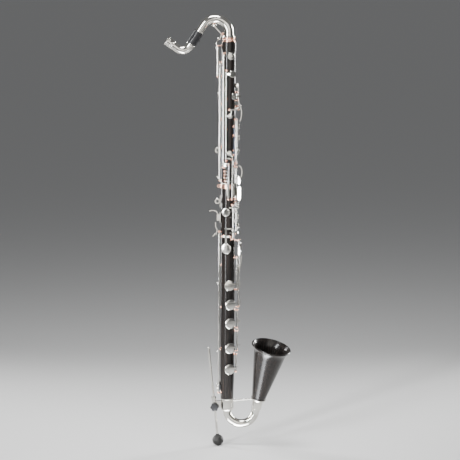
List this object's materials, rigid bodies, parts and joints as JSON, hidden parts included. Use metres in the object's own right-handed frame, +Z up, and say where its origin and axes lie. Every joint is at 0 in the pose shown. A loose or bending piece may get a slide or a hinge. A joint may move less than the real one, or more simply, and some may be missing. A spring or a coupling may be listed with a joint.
{
  "type": "bass clarinet",
  "caption": "Low-C bass clarinet with a two-joint wooden body, sprung silver keywork on copper posts, a curved neck, a metal bow, an upturned bell and a floor peg.",
  "frame": {"origin": "lowest point of the floor peg's rubber ball, with the peg where the picture shows it", "axes": "+Z up along the bore of the body, +X from the body towards the bell, and -Y the side that carries most tone holes"},
  "size_m": [0.3586, 0.1186, 1.2173],
  "materials": {
    "grenadilla": "oiled satin, very dark grenadilla",
    "copper_fittings": "polished copper-toned plating",
    "cork": null,
    "black_sleeve": "black composite, low gloss",
    "black_rubber": "matte rubber",
    "black_knob": "matte moulded plastic",
    "pads": "soft skin pad",
    "blued_steel": "blued spring steel",
    "steel_rods": "polished steel",
    "silver_tube": "polished silver plating",
    "silver_keys": "polished silver plating"
  },
  "bodies": {
    "body": {"upper_joint": "grenadilla", "lower_joint": "grenadilla", "copper_rings": "copper_fittings", "tenon_corks": "cork", "neck_tenon": "silver_tube", "neck_tube": "silver_tube", "neck_sleeve": "black_sleeve", "upper_posts": "copper_fittings", "lower_posts": "copper_fittings", "hinge_rods": "steel_rods", "needle_springs": "blued_steel", "strap_rings": "silver_keys", "thumb_rest": "silver_keys", "body_ferrule": "silver_tube", "bow": "silver_tube", "bell_ferrule": "silver_tube", "bow_brace": "silver_tube", "bell": "grenadilla"},
    "neck_lower": {"neck_lower_tube": "silver_tube", "mouthpiece_receiver": "silver_tube"},
    "neck_register": {"neck_register_key": "silver_keys", "neck_register_pad": "pads"},
    "peg": {"peg_rod": "silver_tube", "peg_ball": "black_rubber"},
    "screw": {"peg_screw": "black_knob"},
    "register_lever": {"register_lever": "silver_keys"},
    "register_thumb": {"register_thumb_key": "silver_keys"},
    "trill_1": {"trill_key_1": "silver_keys", "trill_pad_1": "silver_keys"},
    "trill_2": {"trill_key_2": "silver_keys", "trill_pad_2": "silver_keys"},
    "throat_a": {"throat_a_key": "silver_keys", "throat_a_pad": "pads"},
    "throat_g_sharp": {"throat_g_sharp_key": "silver_keys", "throat_g_sharp_pad": "pads"},
    "cross": {"cross_key": "silver_keys", "cross_pad": "pads"},
    "left_hand": {"left_hand_key": "silver_keys", "left_hand_pads": "pads"},
    "side": {"side_key": "silver_keys", "side_pad": "pads"},
    "left_finger": {"left_finger_lever": "silver_keys"},
    "right_hand": {"right_hand_key": "silver_keys", "right_hand_pads": "pads"},
    "right_finger": {"right_finger_key": "silver_keys", "right_finger_pad": "pads"},
    "gate": {"gate_key": "silver_keys", "gate_pad": "pads"},
    "bass_1": {"bass_key_1": "silver_keys", "bass_pad_1": "silver_keys"},
    "bass_2": {"bass_key_2": "silver_keys", "bass_pad_2": "silver_keys"},
    "bass_3": {"bass_key_3": "silver_keys", "bass_pad_3": "silver_keys"},
    "bass_4": {"bass_key_4": "silver_keys", "bass_pad_4": "silver_keys"},
    "bass_5": {"bass_key_5": "silver_keys", "bass_pad_5": "silver_keys"},
    "low_c": {"low_c_key": "silver_keys", "low_c_pad": "pads"}
  },
  "joints": [
    {"name": "tuning_slide", "type": "slide", "parent": "body", "child": "neck_lower", "axis": [-0.5505, 0, -0.8348], "range_m": [0, 0.01]},
    {"name": "peg_slide", "type": "slide", "parent": "body", "child": "peg", "axis": [-0.1011, 0, 0.9949], "range_m": [-0.12, 0.06]},
    {"name": "peg_screw_turn", "type": "hinge", "parent": "body", "child": "screw", "pos_m": [-0.0099, -0.01, 0.1135], "axis": [0, -1, 0], "range_deg": [-120, 120]},
    {"name": "register_thumb_press", "type": "hinge", "parent": "body", "child": "register_thumb", "pos_m": [0.00144, -0.01099, 0.9215], "axis": [0, 0, -1], "range_deg": [0, 10], "stiffness_Nm_per_rad": 0.03, "springref_deg": -20.05},
    {"name": "register_lever_turn", "type": "hinge", "parent": "body", "child": "register_lever", "pos_m": [-0.00508, -0.0075, 1.0885], "axis": [0, 0, -1], "range_deg": [0, 5]},
    {"name": "neck_register_turn", "type": "hinge", "parent": "body", "child": "neck_register", "pos_m": [0.0055, 0, 1.162], "axis": [0, -1, 0], "range_deg": [0, 3.1]},
    {"name": "trill_1_open", "type": "hinge", "parent": "body", "child": "trill_1", "pos_m": [0.01161, -0.02229, 0.9525], "axis": [0, 0, -1], "range_deg": [0, 6], "stiffness_Nm_per_rad": 0.03, "springref_deg": -20.05},
    {"name": "trill_2_open", "type": "hinge", "parent": "body", "child": "trill_2", "pos_m": [0.01871, -0.02523, 0.9385], "axis": [0, 0, -1], "range_deg": [0, 6], "stiffness_Nm_per_rad": 0.03, "springref_deg": -20.05},
    {"name": "throat_a_open", "type": "hinge", "parent": "body", "child": "throat_a", "pos_m": [0.0502, 0, 0.964], "axis": [0, 1, 0], "range_deg": [0, 3.5], "stiffness_Nm_per_rad": 0.03, "springref_deg": -20.05},
    {"name": "throat_g_sharp_open", "type": "hinge", "parent": "body", "child": "throat_g_sharp", "pos_m": [0.04999, -0.00717, 0.992], "axis": [0, 0, 1], "range_deg": [0, 8], "stiffness_Nm_per_rad": 0.03, "springref_deg": -20.05},
    {"name": "cross_open", "type": "hinge", "parent": "body", "child": "cross", "pos_m": [0.03988, -0.02205, 0.956], "axis": [-0.829, -0.5592, 0], "range_deg": [0, 6], "stiffness_Nm_per_rad": 0.03, "springref_deg": -20.05},
    {"name": "left_hand_close", "type": "hinge", "parent": "body", "child": "left_hand", "pos_m": [0.0468, -0.01416, 0.8665], "axis": [0, 0, 1], "range_deg": [0, 7], "stiffness_Nm_per_rad": 0.03, "springref_deg": -20.05},
    {"name": "side_open", "type": "hinge", "parent": "body", "child": "side", "pos_m": [0.0366, -0.02327, 0.7615], "axis": [0, 0, 1], "range_deg": [0, 6], "stiffness_Nm_per_rad": 0.03, "springref_deg": -20.05},
    {"name": "left_finger_press", "type": "hinge", "parent": "body", "child": "left_finger", "pos_m": [0.0468, -0.01416, 0.751], "axis": [0, 0, 1], "range_deg": [0, 6], "stiffness_Nm_per_rad": 0.03, "springref_deg": -20.05},
    {"name": "right_hand_close", "type": "hinge", "parent": "body", "child": "right_hand", "pos_m": [0.04729, -0.01339, 0.6535], "axis": [0, 0, 1], "range_deg": [0, 7], "stiffness_Nm_per_rad": 0.03, "springref_deg": -20.05},
    {"name": "right_finger_close", "type": "hinge", "parent": "body", "child": "right_finger", "pos_m": [0.03878, -0.02205, 0.642], "axis": [0, 0, -1], "range_deg": [0, 6], "stiffness_Nm_per_rad": 0.03, "springref_deg": -20.05},
    {"name": "gate_open", "type": "hinge", "parent": "body", "child": "gate", "pos_m": [0.02038, -0.0262, 0.602], "axis": [-0.9848, 0.1736, 0], "range_deg": [0, 5], "stiffness_Nm_per_rad": 0.03, "springref_deg": -20.05},
    {"name": "bass_1_open", "type": "hinge", "parent": "body", "child": "bass_1", "pos_m": [0.0502, -0.00819, 0.4955], "axis": [0, 0, 1], "range_deg": [0, 6], "stiffness_Nm_per_rad": 0.03, "springref_deg": -20.05},
    {"name": "bass_2_close", "type": "hinge", "parent": "body", "child": "bass_2", "pos_m": [0.05596, -0.00162, 0.4945], "axis": [0, 0, -1], "range_deg": [0, 6], "stiffness_Nm_per_rad": 0.03, "springref_deg": -20.05},
    {"name": "bass_3_close", "type": "hinge", "parent": "body", "child": "bass_3", "pos_m": [0.05305, -0.00295, 0.366], "axis": [0, 0, -1], "range_deg": [0, 6], "stiffness_Nm_per_rad": 0.03, "springref_deg": -20.05},
    {"name": "bass_4_close", "type": "hinge", "parent": "body", "child": "bass_4", "pos_m": [0.05305, -0.00295, 0.3035], "axis": [0, 0, -1], "range_deg": [0, 6], "stiffness_Nm_per_rad": 0.03, "springref_deg": -20.05},
    {"name": "bass_5_close", "type": "hinge", "parent": "body", "child": "bass_5", "pos_m": [0.0502, -0.00819, 0.241], "axis": [0, 0, -1], "range_deg": [0, 6], "stiffness_Nm_per_rad": 0.03, "springref_deg": -20.05},
    {"name": "low_c_close", "type": "hinge", "parent": "body", "child": "low_c", "pos_m": [0.00125, -0.01057, 0.3845], "axis": [0, 0, -1], "range_deg": [0, 5], "stiffness_Nm_per_rad": 0.03, "springref_deg": -20.05}
  ],
  "couplings": [
    {"joint": "register_lever_turn", "follows": "register_thumb_press", "ratio": 0.5},
    {"joint": "neck_register_turn", "follows": "register_thumb_press", "ratio": 0.31}
  ]
}
